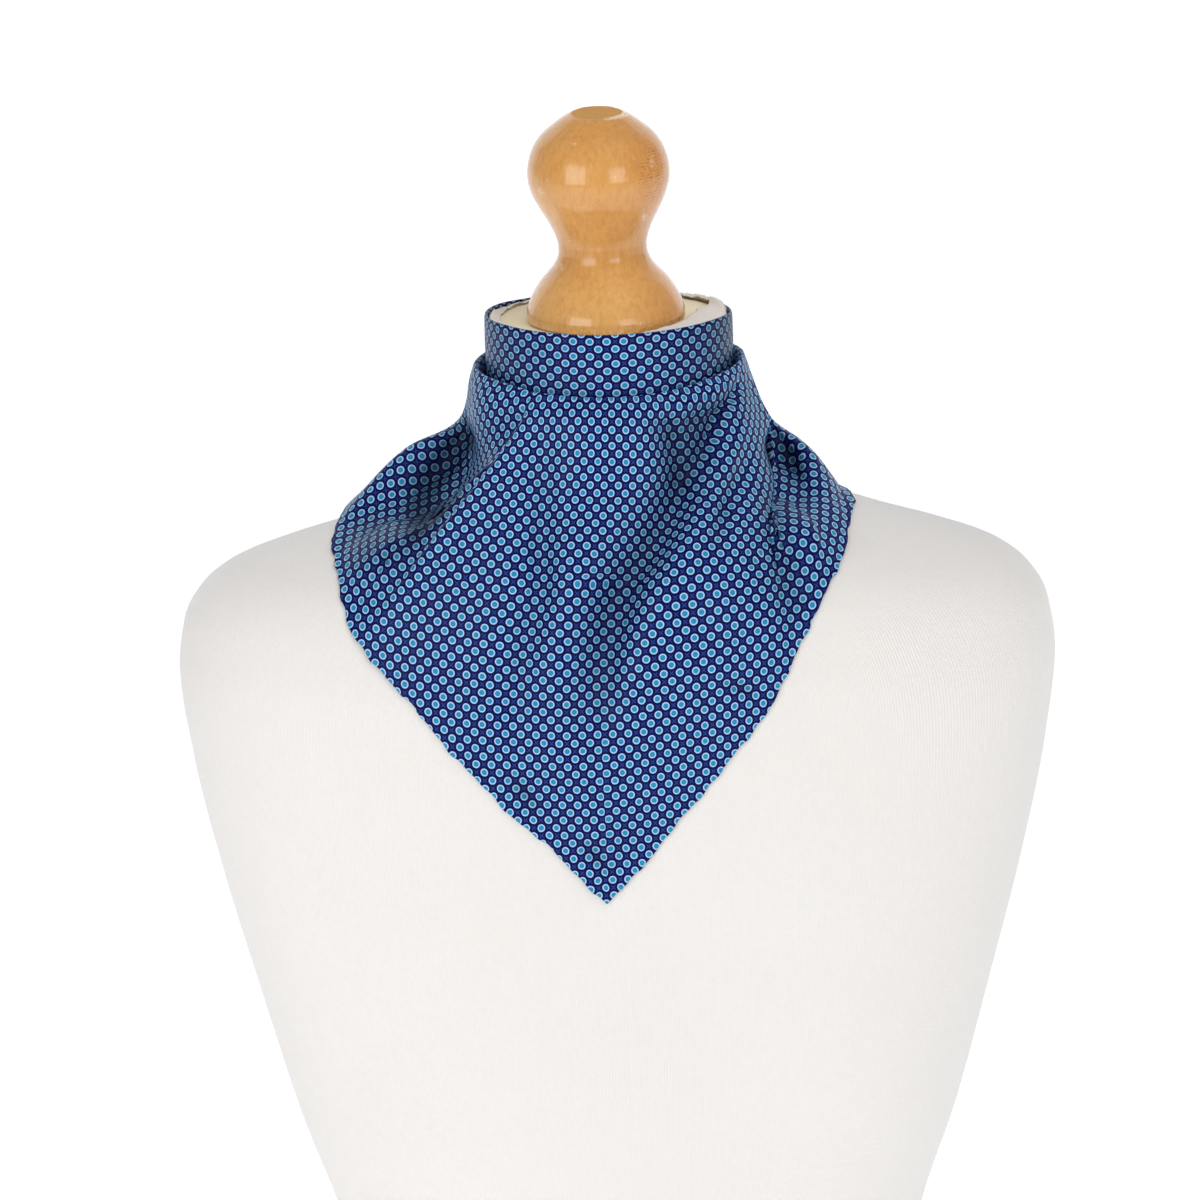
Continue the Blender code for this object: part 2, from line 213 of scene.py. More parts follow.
# %% Shader words
class Wire:
    """One socket of a material, usable in Python arithmetic."""

    def __init__(self, tree, socket):
        self.tree = tree
        self.socket = socket

    def math(self, operation, *others):
        node = self.tree.nodes.new("ShaderNodeMath")
        node.operation = operation
        for place, value in enumerate((self, *others)):
            plug(self.tree, node.inputs[place], value)
        return Wire(self.tree, node.outputs[0])

    def __add__(self, other):
        return self.math("ADD", other)

    __radd__ = __add__

    def __mul__(self, other):
        return self.math("MULTIPLY", other)

    __rmul__ = __mul__

    def __sub__(self, other):
        return self.math("SUBTRACT", other)

    def __rsub__(self, other):
        return (self * -1) + other

    def __abs__(self):
        return self.math("ABSOLUTE")

    def part(self):
        return self.math("FRACT")

    def sine(self):
        return self.math("SINE")

    def root(self):
        return self.math("SQRT")

    def least(self, other):
        return self.math("MINIMUM", other)

    def most(self, other):
        return self.math("MAXIMUM", other)

    def soft_step(self, start, end):
        """0 before start, 1 after end, smooth between."""
        node = self.tree.nodes.new("ShaderNodeMapRange")
        node.interpolation_type = "SMOOTHSTEP"
        plug(self.tree, node.inputs["Value"], self)
        node.inputs["From Min"].default_value = start
        node.inputs["From Max"].default_value = end
        return Wire(self.tree, node.outputs["Result"])


def plug(tree, socket, value):
    """Link a wire to a socket, or set the socket's own value."""
    if isinstance(value, Wire):
        tree.links.new(value.socket, socket)
    else:
        socket.default_value = value


class Finish:
    """One material and the words to build it."""

    def __init__(self, name, fixed):
        self.material = bpy.data.materials.new(name)
        self.material.use_nodes = True
        self.tree = self.material.node_tree
        self.shader = self.tree.nodes["Principled BSDF"]
        for socket, value in fixed.items():
            self.shader.inputs[socket].default_value = value

    def add(self, kind, settings=None, sockets=None, out=0):
        node = self.tree.nodes.new(kind)
        for setting, value in (settings or {}).items():
            setattr(node, setting, value)
        for socket, value in (sockets or {}).items():
            plug(self.tree, node.inputs[socket], value)
        return Wire(self.tree, node.outputs[out])

    def mix(self, share, first, second):
        """Colour between two colours."""
        return self.add("ShaderNodeMix", {"data_type": "RGBA"}, {0: share, 6: first, 7: second}, 2)

    def place(self):
        """Object coordinates."""
        return self.add("ShaderNodeTexCoord", out="Object")

    def flat(self):
        """The piece's own flat cut, in metres."""
        return self.add("ShaderNodeUVMap", {"uv_map": "cut"})

    def xyz(self, vector):
        node = self.tree.nodes.new("ShaderNodeSeparateXYZ")
        plug(self.tree, node.inputs[0], vector)
        return [Wire(self.tree, socket) for socket in node.outputs]

    def noise(self, vector, scale, detail=2.0, rough=0.5):
        sockets = {"Vector": vector, "Scale": scale, "Detail": detail, "Roughness": rough}
        return self.add("ShaderNodeTexNoise", None, sockets, "Fac")

    def stretch(self, vector, scale):
        return self.add("ShaderNodeMapping", None, {"Vector": vector, "Scale": scale})

    def bump(self, height, strength, distance):
        sockets = {"Height": height, "Strength": strength, "Distance": distance}
        self.set("Normal", self.add("ShaderNodeBump", None, sockets))

    def set(self, socket, value):
        plug(self.tree, self.shader.inputs[socket], value)


def paint(r, g, b):
    """Linear colour from the 0 to 255 numbers of a colour chart."""
    return tuple(((c / 255 + 0.055) / 1.055) ** 2.4 if c > 10 else c / 3295 for c in (r, g, b)) + (1.0,)


# %% [markdown]
# The print is a small common repeat: teal dots with a pale blue ring on navy, and a faint cross
# in each space between four dots. The rows run along the cloth's edges, so they look diagonal
# on the worn point. It is charted from one repeat: the dots sit at whole numbers of the
# pitch, and how far a point is from its nearest dot picks the colour. Where the attribute hollow
# says that a fold lies in its own shade, the colour is deepened.

# %% Printed silk
PITCH = 5.45
DOT_CENTRE = 1.32
DOT_RING = 1.87


def printed_silk():
    silk = Finish("printed_silk", {"Roughness": 0.4, "Specular IOR Level": 0.08})
    flat = silk.flat()
    a, b, _ = silk.xyz(flat)
    wobble = silk.noise(flat, 900.0, 2.0)
    pa = (a * (1000 / PITCH) + 0.5).part() - 0.5
    pb = (b * (1000 / PITCH) + 0.5).part() - 0.5
    reach = (pa * pa + pb * pb).root() * PITCH + (wobble - 0.5) * 0.22
    corner_a = 0.5 - abs(pa)
    corner_b = 0.5 - abs(pb)
    arm = corner_a.least(corner_b)
    far = corner_a.most(corner_b)
    cross = (1 - arm.soft_step(0.025, 0.07)) * (1 - far.soft_step(0.2, 0.3))
    tone = silk.noise(flat, 60.0, 3.0)
    navy = silk.mix(tone, paint(2, 10, 68), paint(4, 15, 80))
    ground = silk.mix(cross * 0.62, navy, paint(52, 76, 160))
    in_ring = 1 - reach.soft_step(DOT_RING - 0.13, DOT_RING + 0.13)
    ring = silk.mix(in_ring, ground, paint(176, 208, 244))
    teal = silk.mix(tone, paint(36, 130, 172), paint(47, 143, 185))
    in_centre = 1 - reach.soft_step(DOT_CENTRE - 0.14, DOT_CENTRE + 0.14)
    dots = silk.mix(in_centre, ring, teal)
    # Painted shade: the attribute hollow deepens the print towards near black in the folds and towards the
    # neck band's sides.
    hollow = silk.add("ShaderNodeAttribute", {"attribute_name": "hollow"}, None, "Fac")
    silk.set("Base Color", silk.mix(hollow * 0.74, dots, (0.0, 0.002, 0.012, 1.0)))
    twill = ((a + b * 0.6) * 9500).sine() * 0.5 + silk.noise(flat, 1400.0, 2.0) * 0.6
    silk.bump(twill, 0.12, 0.0002)
    return silk.material


SILK = printed_silk()
print("print pitch:", PITCH, "mm")

# %% [markdown]
# The torso wears a close jersey, knitted with fine upright wales. The knit is far too fine to
# model, so it is a bump and a slight change of tone along the flat UV map: narrow upright ribs
# with short stitches, and a little uneven wear.

# %% Form jersey
def form_jersey():
    knit = Finish("form_jersey", {"Roughness": 0.92, "Sheen Weight": 0.35, "Sheen Roughness": 0.6})
    place = knit.place()
    flat = knit.flat()
    u, v, _ = knit.xyz(flat)
    drift = knit.noise(flat, 40.0, 2.0) * 0.5
    wales = (u * 4800 + drift * 3).sine() * 0.5 + 0.5
    stitch = (v * 7000 + wales * 1.5).sine() * 0.5 + 0.5
    cloud = knit.noise(place, 9.0, 4.0)
    fuzz = knit.noise(place, 420.0, 3.0)
    base = knit.mix(cloud, paint(236, 231, 226), paint(243, 239, 235))
    shade = knit.mix(wales * 0.22 + fuzz * 0.25, base, paint(222, 216, 210))
    knit.set("Base Color", shade)
    knit.bump(wales * 0.7 + stitch * 0.3 + fuzz * 0.6, 0.35, 0.0004)
    return knit.material


JERSEY = form_jersey()

# %% [markdown]
# The torso of such a form is a stiff moulded shell with a jersey pulled over it. It could be a
# few rings bridged together, but a sheet closed to a tube carries the knit's flat places too. An
# oval stands every few millimetres, closer together at the rounded lower edge and at the
# shoulders, and the two open ends are filled flat.

# %% Torso
heights = np.concatenate([[0.0, 0.4, 1.2, 2.6, 5.0], np.linspace(8, 430, 86), np.linspace(433, 632, 76)])
turns = np.linspace(0, 2 * math.pi, 181) - math.pi / 2
torso = np.zeros((len(turns), len(heights), 3))
for row, z in enumerate(heights):
    radius = torso_radius(turns, np.full(len(turns), z))
    level = np.full(len(turns), z)
    torso[:, row] = np.stack([radius * np.cos(turns), radius * np.sin(turns), level], axis=-1)
girth = np.linspace(0, 1120, len(turns))
torso_flat = np.stack(np.broadcast_arrays(girth[:, None], heights[None, :]), axis=-1)
bm = grid_sheet(torso, torso_flat, closed=True)
open_edges = [e for e in bm.edges if e.is_boundary]
bmesh.ops.holes_fill(bm, edges=open_edges, sides=0)
form_body = smooth_piece("form_body_jersey", bm, JERSEY)
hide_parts("form_body")
print("torso points:", len(form_body.data.vertices))

# %% [markdown]
# The cloth is drawn as stations round the neck, from the nape over the picture's left shoulder,
# the front and the right shoulder back to the nape. Each row of this table is one section of the
# cloth from its rolled crease, over the knee where it leaves the neck, to the hem. It gives four
# points, each as a turn in degrees, a radius and a height. FOLD_STEPS_IN says how much less than
# the roll's radius the crest of the fold has, by how many degrees it lies from the front.

# %% Cloth stations
DRAPE = [
    (-169.5, 65, 614, -169, 70, 600, -168, 73, 593, -167, 77.5, 586),
    (-155, 65.4, 614.5, -154, 72, 588, -154, 78, 579, -154, 87, 565),
    (-135, 65.8, 615, -133, 75, 580, -133, 87, 568, -133, 104, 550),
    (-115, 66.5, 615.5, -112, 77, 578, -111, 98, 565, -110, 124, 546),
    (-98, 66.8, 615.6, -94, 76, 585, -93, 101.8, 571, -88, 136.6, 537.5),
    (-88, 67.6, 615.4, -84, 79.5, 568, -85, 99, 555.5, -83, 138.6, 534),
    (-80, 68, 615, -79, 80.5, 563.5, -79, 99, 550.5, -78.1, 140.4, 530),
    (-72, 68.4, 614.6, -68, 83, 562, -70, 108, 543, -71.9, 142.8, 524.4),
    (-56, 68.6, 613.8, -56, 83.5, 567, -62, 108.5, 540, -63.8, 146.5, 512.3),
    (-44, 68, 612.5, -50, 84, 573.5, -59.5, 108.8, 539.6, -61.2, 147.9, 504.6),
    (-36, 68, 611.5, -46, 83.5, 577.5, -57, 108.6, 540, -59.7, 148.7, 500.6),
    (-30, 68.2, 611.2, -38, 80.5, 574, -49, 105, 530, -50.5, 140.2, 477.8),
    (-22, 68.3, 611, -27, 77, 569, -36, 98, 520, -40.2, 127.4, 446.6),
    (-14, 68.2, 610.7, -16, 74, 565, -25, 91, 520, -29.4, 116.5, 418.1),
    (-8, 68.1, 610.5, -9, 73, 563, -14, 87, 524, -19, 109.4, 397.8),
    (-2, 68, 610.4, -3, 72.6, 562, -4.5, 85, 527, -4.7, 104.9, 368.3),
    (6, 68, 610.4, 5, 73.4, 562, 4, 86.5, 525, 4.7, 104.9, 387.1),
    (18, 67.8, 610.8, 16, 75, 562, 12.5, 89, 525, 14.9, 107.3, 409.7),
    (34, 67.6, 611.8, 30, 76.5, 562, 21, 92, 525, 24.5, 112.1, 431.9),
    (52, 67.3, 613.6, 46, 78.5, 562, 30, 95, 524, 32.2, 117.4, 450.7),
    (70, 67.2, 615.4, 63, 80, 566, 40, 95.5, 525.5, 42, 123.3, 481.1),
    (83, 67, 616.8, 80.5, 82.3, 571, 52.5, 88, 536.5, 46.2, 123.6, 495.5),
    (86, 67, 617, 79, 76, 562.5, 57, 86.5, 540, 48.5, 123.8, 500.5),
    (88.5, 67, 617.1, 82, 77, 557.5, 66, 97, 540, 54.5, 124.2, 513.6),
    (91, 67, 617.2, 87, 78.5, 560, 77, 97, 548, 65.1, 121.9, 526.7),
    (95, 66.8, 617.1, 92, 79.2, 571, 86, 97, 560, 79.5, 118, 538),
    (100, 66.6, 616.9, 95, 79.8, 581.5, 93, 97.6, 566.5, 92.5, 116.4, 540),
    (115, 66.2, 616.2, 112, 78, 578, 112, 92, 564, 112, 108, 547),
    (135, 65.6, 615.4, 133, 75, 581, 133, 83.5, 569, 133, 97, 551),
    (155, 65.2, 614.6, 154, 72, 588, 154, 77, 580, 154, 84, 567),
    (169.5, 65, 614, 169, 70, 600, 168, 72.5, 594, 167, 76.5, 587),
]
LIP_RADIUS = 61.4
FOLD_STEPS_IN = [45, 78, 105], [4.7, 0.8, 2.6]


def on_turn(turn, radius, z):
    """Point at a turn from the front, a radius and a height."""
    angle = math.radians(turn)
    return np.array([radius * math.sin(angle), -radius * math.cos(angle), z])


def section_knots(row):
    """The points that one station's section runs through, from the lip inside the roll down."""
    turn, radius, z = row[0:3]
    fold = radius - np.interp(abs(turn), *FOLD_STEPS_IN)
    inside = (LIP_RADIUS + fold) / 2 - 1.0
    places = [(turn, LIP_RADIUS, z - 10), (turn, inside, z - 3.6), (turn, fold, z)]
    places += [(turn, radius, z - 3.8), row[3:6], row[6:9], row[9:12]]
    return np.array([on_turn(*place) for place in places])


def run_through(knots, counts):
    """Points on a smooth curve through the knots, with so many steps in each stretch."""
    reach = steps_along(knots)
    slope = np.gradient(knots, run_along(knots), axis=0)
    out = []
    for i, count in enumerate(counts):
        t = (np.arange(count) / count)[:, None]
        out.append(smooth_stretch(t, reach, knots, slope, i))
    return np.concatenate(out + [knots[-1:]])


def between_stations(table, columns):
    """Rows of the table at evenly shared places; the hem keeps its corner at the point."""
    table = np.array(table, float)
    step = sum(steps_along(np.array([on_turn(*row[k : k + 3]) for row in table])) for k in (6, 9))
    place = np.concatenate([[0], np.cumsum(step)])
    share = np.linspace(0, place[-1], 400)
    turn = steady(share, place, table[:, 0])
    crowd = np.where(np.abs(turn) < 97, 1.0, 0.3)
    crowd = np.concatenate([[0], np.cumsum((crowd[1:] + crowd[:-1]) * np.diff(share))])
    at = np.interp(np.linspace(0, crowd[-1], columns + 1), crowd, share)
    rows = np.stack([steady(at, place, table[:, k]) for k in range(12)], axis=-1)
    point = int(np.argmin(table[:, 11]))
    at[np.argmin(np.abs(at - place[point]))] = place[point]
    for k in range(9, 12):
        before = steady(at, place[: point + 1], table[: point + 1, k])
        after = steady(at, place[point:], table[point:, k])
        rows[:, k] = np.where(at <= place[point], before, after)
    return rows


# %% [markdown]
# The creases are soft troughs and ridges placed on the front of the cloth. Each has a
# depth, how dark it lies in its own shade, a half width on either side, how strong its two ends
# are, and a short path in the front view. Their sum moves each point along the cloth's own
# outward direction, and the sheet is then cleared from the form. The hem also gets small waves,
# each with a height, a length and a start, because a rolled edge never hangs quite straight.

# %% Creases
# How dark a crease lies is painted shade: through the attribute hollow it deepens the print's colour, on
# top of the shade its depth gives.
CREASES = [
    ("left pleat", -7, 0.4, 11, 2.8, 0.6, 0.2, [
        (-42, 608), (-48, 598.5), (-54.5, 590), (-63.5, 578.6), (-71.5, 569.7), (-79, 561.4),
        (-86.5, 552.6), (-96, 540), (-110.5, 521.5), (-122, 508.3)]),
    ("dimple by the roll", -3, 0.6, 5, 5, 0.3, 0.5, [(-52, 612), (-48.4, 607.5), (-41.2, 602)]),
    ("left valley", -7, 0.3, 6, 7, 0.15, 0.3, [
        (-35.4, 604), (-33.5, 586), (-33, 566.5), (-36, 546.4), (-36.5, 524.6), (-42.5, 505.5),
        (-47.6, 486.9), (-50.4, 469)]),
    ("upper right valley", -11, 0.8, 11, 4.5, 0.6, 0.8, [
        (29.2, 606), (32.6, 592.7), (35.7, 578.1), (37.5, 569)]),
    ("between valleys", -8.5, 1.2, 14, 13, 1, 0.9, [(48, 606), (43.5, 592), (38, 574)]),
    ("corner valley", -11, 0.9, 8, 3.4, 0.9, 0.8, [
        (62.1, 606), (57.4, 599.6), (53.4, 589.8), (47.9, 580.1), (41, 571)]),
    ("main valley", -15, 0.58, 12.5, 9, 0.9, 0.1, [
        (37.5, 569), (28, 556.9), (19.5, 545.9), (11.5, 536.1), (4, 525.1), (-2.3, 508.9), (-6.3, 493),
        (-8.6, 476.7), (-10.5, 455)]),
    ("lit ridge", 3, 0, 4, 4, 0.3, 0.3, [
        (63.4, 586.9), (54, 572.7), (45.4, 567.2), (39.2, 559.4)]),
    ("side dimple", -4.5, 1.3, 5, 5, 0.3, 0.3, [
        (64, 570), (57.4, 560.6), (52.5, 551.5), (48, 544.2)]),
    ("right overlap", -0.9, 1.2, 4.5, 7, 0.3, 0.2, [
        (74.7, 568.9), (72.7, 560.6), (68.6, 551.9), (67.6, 540.5), (70, 528.7), (73.2, 519),
        (78.3, 509.4), (81.4, 499.3)]),
    ("middle ridge", 2, 0, 12, 12, 0.3, 0.3, [
        (-9, 600), (-9.4, 578), (-13.6, 547), (-20, 516), (-27, 477), (-27.6, 444), (-19, 408)]),
    ("left pocket", -8, 2.6, 6.5, 5.5, 1, 0.2, [
        (-76.4, 580), (-82.5, 569.5), (-91.6, 558.3), (-99.2, 548), (-106.9, 538.2)]),
    ("right pocket", -8, 2.2, 6.5, 7, 0.8, 0.3, [(83.1, 573.6), (87.6, 563.3), (91.5, 553)]),
    ("right streak", -1.6, 4.2, 8, 8.5, 0.7, 0.3, [(77.5, 550), (80, 536), (84, 517), (87.5, 499)]),
    ("left wing shade", -1, 6, 9, 9, 0.7, 0.7, [(-103, 541), (-113, 538), (-124, 534)]),
    ("dent by the right hem", -2.5, 1.8, 3, 3, 0.3, 0.3, [(50, 478), (58, 475), (66, 471)]),
    ("dent by the left hem", -2.5, 3.2, 3.5, 3.5, 0.3, 0.3, [(-53, 433), (-47, 425), (-41, 417)]),
    ("dent by the point", -2.5, 3.4, 3.2, 3.2, 0.3, 0.3, [(-20, 400), (-12.4, 391), (-7, 385)]),
    ("tip hollow", -1.5, 1, 5, 5, 0.2, 0.5, [(-2.3, 417), (-3.4, 392), (-4.6, 378)]),
]
HEM_WAVES = [(0.55, 7.3, 0), (0.4, 3.1, 1), (0.35, 1.9, 2)]


def beside_path(x, z, path):
    """Distance in the front view from points to a path, below 0 to its left, and the share along."""
    path = np.array(path, float)
    best = np.full(x.shape, 1e9)
    side = np.zeros(x.shape)
    along = np.zeros(x.shape)
    length = steps_along(path)
    done = 0.0
    for a, b, reach in zip(path[:-1], path[1:], length):
        dx, dz = (b - a) / reach
        t = np.clip((x - a[0]) * dx + (z - a[1]) * dz, 0, reach)
        d = np.hypot(x - a[0] - t * dx, z - a[1] - t * dz)
        across = -((x - a[0]) * dz - (z - a[1]) * dx)
        along = np.where(d < best, (done + t) / length.sum(), along)
        side = np.where(d < best, np.sign(across), side)
        best = np.minimum(best, d)
        done += reach
    return best * side, along


def outward(p):
    """Outward directions of a grid of points."""
    n = np.cross(np.gradient(p, axis=0), np.gradient(p, axis=1))
    n /= np.maximum(np.linalg.norm(n, axis=-1), 1e-9)[..., None]
    return n * np.sign(np.sum(n[:, -1] * p[:, -1] * [1, 1, 0]))


def crease_relief(p):
    """How far the creases lift, sink and shade the front of the cloth."""
    lift, sink, shade = np.zeros((3, *p.shape[:-1]))
    for _, depth, dark, left, right, start, end, path in CREASES:
        d, along = beside_path(p[..., 0], p[..., 2], path)
        width = np.where(d < 0, left, right)
        fade = np.interp(along, [0, 0.2, 0.5, 0.8, 1], [start, (start + 1) / 2, 1, (end + 1) / 2, end])
        wave = depth * fade * np.exp(-((d / width) ** 2))
        lift += np.maximum(wave, 0)
        sink += np.maximum(-wave, 0) ** 3
        shade += (np.maximum(-wave, 0) * dark) ** 3
    return lift, np.cbrt(sink), np.cbrt(shade)


def draped(table, columns, rows, gap, bulge):
    """Grid of points of the cloth, creases and clearance included, and how shaded each point is."""
    grid = np.array([run_through(section_knots(r), rows) for r in between_stations(table, columns)])
    hang = np.linspace(0, 1, grid.shape[1])[None, :]
    front = np.clip((-grid[..., 1] - 20) / 35, 0, 1)
    puff = bulge * np.sin(math.pi * np.clip((hang - 0.2) / 0.8, 0, 1)) * front
    grid = clear_of_form(grid + outward(grid) * puff[..., None], gap)
    lift, sink, shade = crease_relief(grid)
    share = np.clip((hang - 0.11) / 0.05, 0, 1) * np.clip((1 - hang) / 0.06, 0.35, 1)
    share = share * np.clip((12 - grid[..., 1]) / 12, 0, 1)
    relief = (lift - sink) * share
    run = run_along(grid[:, -1])
    waves = sum(high * np.sin(run / length + start) for high, length, start in HEM_WAVES)
    fall = grid[:, -1] - grid[:, -4]
    fall = fall / np.linalg.norm(fall, axis=1)[:, None]
    near = np.clip((hang - 0.93) / 0.07, 0, 1) ** 2
    grid = grid + (fall * waves[:, None])[:, None] * near[..., None]
    return clear_of_form(grid + outward(grid) * relief[..., None], gap), shade * share


# %% [markdown]
# The print must lie on the cloth as it was printed flat. Blender's own unwrap flattens a coarse
# copy of the folded sheet with the least stretch, and every point of the fine sheet takes its
# flat place from that. Then the flat piece is turned until its corner is the origin and its two
# hems run along the axes.


# %% Flat cut
def all_lines(grid):
    """Length of all the lines of a grid, across and down."""
    return steps_along(grid).sum() + np.linalg.norm(np.diff(grid, axis=1), axis=2).sum()


def filled_in(grid, known, count):
    """A grid whose columns stand at some known places, with the places between filled in."""
    at = np.arange(count)
    full = np.zeros((count,) + grid.shape[1:])
    for row in range(grid.shape[1]):
        for k in range(grid.shape[2]):
            full[:, row, k] = np.interp(at, known, grid[:, row, k])
    return full


def flat_cut(points, across, down):
    """Flat places in millimetres of a folded grid, from an unwrap of some of its points."""
    columns = np.unique(np.append(np.arange(0, points.shape[0], across), points.shape[0] - 1))
    rows = np.unique(np.append(np.arange(0, points.shape[1], down), points.shape[1] - 1))
    few = points[columns][:, rows]
    bm = grid_sheet(few, few[..., :2])
    mesh = bpy.data.meshes.new("cutting_table")
    bm.to_mesh(mesh)
    bm.free()
    table = bpy.data.objects.new("cutting_table", mesh)
    bpy.context.scene.collection.objects.link(table)
    bpy.context.view_layer.objects.active = table
    table.select_set(True)
    bpy.ops.object.mode_set(mode="EDIT")
    bpy.ops.mesh.select_all(action="SELECT")
    bpy.ops.uv.unwrap(method="MINIMUM_STRETCH", fill_holes=True, iterations=20, margin=0.0)
    bpy.ops.object.mode_set(mode="OBJECT")
    flat = np.zeros((len(mesh.vertices), 2))
    uv = mesh.uv_layers["cut"].data
    for loop in mesh.loops:
        flat[loop.vertex_index] = uv[loop.index].uv
    bpy.data.objects.remove(table)
    bpy.data.meshes.remove(mesh)
    flat = flat.reshape(len(rows), len(columns), 2).transpose(1, 0, 2)
    flat = flat * all_lines(few) / all_lines(flat)
    full = filled_in(flat.transpose(1, 0, 2), rows, points.shape[1]).transpose(1, 0, 2)
    return filled_in(full, columns, points.shape[0])


def turn_flat(flat, origin, direction, onto):
    """Flat piece moved so that one place is the origin and a direction lies on an angle."""
    angle = math.radians(onto) - math.atan2(direction[1], direction[0])
    c, s = math.cos(angle), math.sin(angle)
    moved = flat - origin
    return np.stack([moved[..., 0] * c - moved[..., 1] * s, moved[..., 0] * s + moved[..., 1] * c], axis=-1)


def mirrored_cut(flat):
    """True if the flat piece came out as its mirror image, seen from the printed side."""
    d0 = flat[1:, :-1] - flat[:-1, :-1]
    d1 = flat[:-1, 1:] - flat[:-1, :-1]
    return float(np.sum(d0[..., 0] * d1[..., 1] - d0[..., 1] * d1[..., 0])) > 0


# %% [markdown]
# Now the sheet is draped and its flat cut turned. A cloth simulation could drape it, but it would
# find folds of its own, and these lie where the picture has them. The point hangs on the bias,
# where silk gives, so the print there is a little longer down the middle and a little narrower
# across. ROWS says how many steps each stretch of a section has, and BULGE how far the front
# puffs out.

# %% Drape
COLUMNS = 350
ROWS = (3, 5, 6, 26, 30, 58)
FORM_GAP = 1.6
BULGE = 13.0
BIAS_DOWN, BIAS_ACROSS = 1.04, 0.96
HEM_REACH = 50
drape, hollows = draped(DRAPE, COLUMNS, ROWS, FORM_GAP, BULGE)
drape_flat = flat_cut(drape, 3, 4)
if mirrored_cut(drape_flat):
    drape_flat = drape_flat * [-1, 1]
tip = int(np.argmin(drape[:, -1, 2]))
left_way = drape_flat[tip - HEM_REACH, -1] - drape_flat[tip, -1]
right_way = drape_flat[tip + HEM_REACH, -1] - drape_flat[tip, -1]
left_way = left_way / np.linalg.norm(left_way)
right_way = right_way / np.linalg.norm(right_way)
print("hems meet at", round(math.degrees(math.acos(float(left_way @ right_way))), 1), "degrees")
drape_flat = turn_flat(drape_flat, drape_flat[tip, -1], left_way + right_way, 45)
down = (drape_flat[..., 0] + drape_flat[..., 1]) / BIAS_DOWN
side = (drape_flat[..., 0] - drape_flat[..., 1]) / BIAS_ACROSS
drape_flat = np.stack([down + side, down - side], axis=-1) / 2
print("flat size", np.ptp(drape_flat[..., 0]).round(1), np.ptp(drape_flat[..., 1]).round(1))


# %% [markdown]
# The edge of the square is rolled by hand and stitched, so it ends in a thin soft roll that is
# a little uneven where each stitch pulls it in. The roll is more rows on the same sheet: they
# carry on past the hem and curl under, and the print carries on over them.


# %% Rolled hem
def with_rolled_hem(points, flat, radius=0.6):
    """The sheet with its last row curled under in a small uneven roll."""
    out = outward(points)[:, -1]
    step = points[:, -1] - points[:, -3]
    step /= np.linalg.norm(step, axis=1)[:, None]
    on = flat[:, -1] - flat[:, -3]
    on /= np.linalg.norm(on, axis=1)[:, None]
    along = run_along(points[:, -1])
    size = radius * (1 + 0.10 * np.sin(along * 2 * math.pi / 5.5) + 0.08 * np.sin(along * 0.37))
    more = []
    more_flat = []
    for angle in np.linspace(0.4, 4.0, 6):
        bend = step * np.sin(angle) - out * (1 - np.cos(angle))
        more.append(points[:, -1] + bend * size[:, None])
        more_flat.append(flat[:, -1] + on * (size * angle)[:, None])
    points = np.concatenate([points, np.stack(more, axis=1)], axis=1)
    flat = np.concatenate([flat, np.stack(more_flat, axis=1)], axis=1)
    return points, flat


drape, drape_flat = with_rolled_hem(drape, drape_flat)
scarf = smooth_piece("scarf_drape", grid_sheet(drape, drape_flat, turned=True), SILK)


def wall(obj, thickness):
    """Thin silk wall on both sides of the sheet."""
    mod = obj.modifiers.new("silk_wall", "SOLIDIFY")
    mod.thickness = thickness * MM
    mod.offset = 0.0


def paint_shade(obj, values):
    """Attribute hollow of painted shade: how deep each point is painted into shade, as in a fold's own
    shade.
    """
    shade = obj.data.attributes.new("hollow", "FLOAT", "POINT")
    shade.data.foreach_set("value", np.clip(values, 0, 1))


THIN_WALL = 0.4
DARKEST_HOLLOW = 14
wall(scarf, THIN_WALL)
hollows = np.concatenate([hollows, hollows[:, -1:].repeat(6, axis=1)], axis=1)
paint_shade(scarf, hollows.T.ravel() / DARKEST_HOLLOW)
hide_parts("scarf_bib", "scarf_wing_left", "scarf_wing_right")
print("drape faces:", len(scarf.data.polygons))

# %% [markdown]
# The neck band is the square's long fold standing up round the neck. It is cloth on the bias,
# pulled round the neck, so the print is stretched sideways and pressed together up and down.
# RIM says how far its top edge rises or sags at each angle (radians from the picture's right).
# DOTS_ROUND and DOTS_DOWN are the distances between dots in the photo, round the neck and down.

# %% Neck band
RIM = np.array(
    [(0, -2.3), (0.5, -2.9), (1.2, -3.4), (2, -3.2), (2.35, -2.4), (2.65, -1.1), (3, -0.3),
        (3.3, 0.4), (3.8, 1.7), (4.4, 1.4), (5, 1.3), (5.6, 1.3), (5.95, 0.3), (2 * math.pi, -2.3)]
).T
BAND_PROFILE = [
    (59.1, 600), (59, 612), (59, 625), (59.1, 637.2), (59.35, 638.9), (59.8, 639.6), (60.3, 639.5),
    (60.7, 638.7), (60.85, 637), (60.9, 633), (61, 626), (60.9, 618), (60.7, 610), (60.6, 600),
]
around = np.linspace(-1.5 * math.pi, 0.5 * math.pi, 241)
profile = np.array(BAND_PROFILE, float)
spread = run_along(profile)
fine = np.linspace(0, spread[-1], 64)
line = np.stack([np.interp(fine, spread, profile[:, k]) for k in (0, 1)], axis=-1)
band = np.zeros((len(around), len(fine), 3))
for i, angle in enumerate(around):
    lift = steady(angle % (2 * math.pi), *RIM) * np.clip((line[:, 1] - 612) / 28, 0, 1)
    radius = line[:, 0] + 0.15 * math.sin(3 * angle + 0.5) + 0.1 * math.sin(7 * angle)
    band[i] = np.stack([radius * math.cos(angle), radius * math.sin(angle), line[:, 1] + lift], axis=-1)
DIAGONAL = PITCH * math.sqrt(2)
BAND_RADIUS = 60.9
DOTS_ROUND, DOTS_DOWN = 8.18, 6.92
SHIFT_ROUND, SHIFT_DOWN = 1.3, 43.6
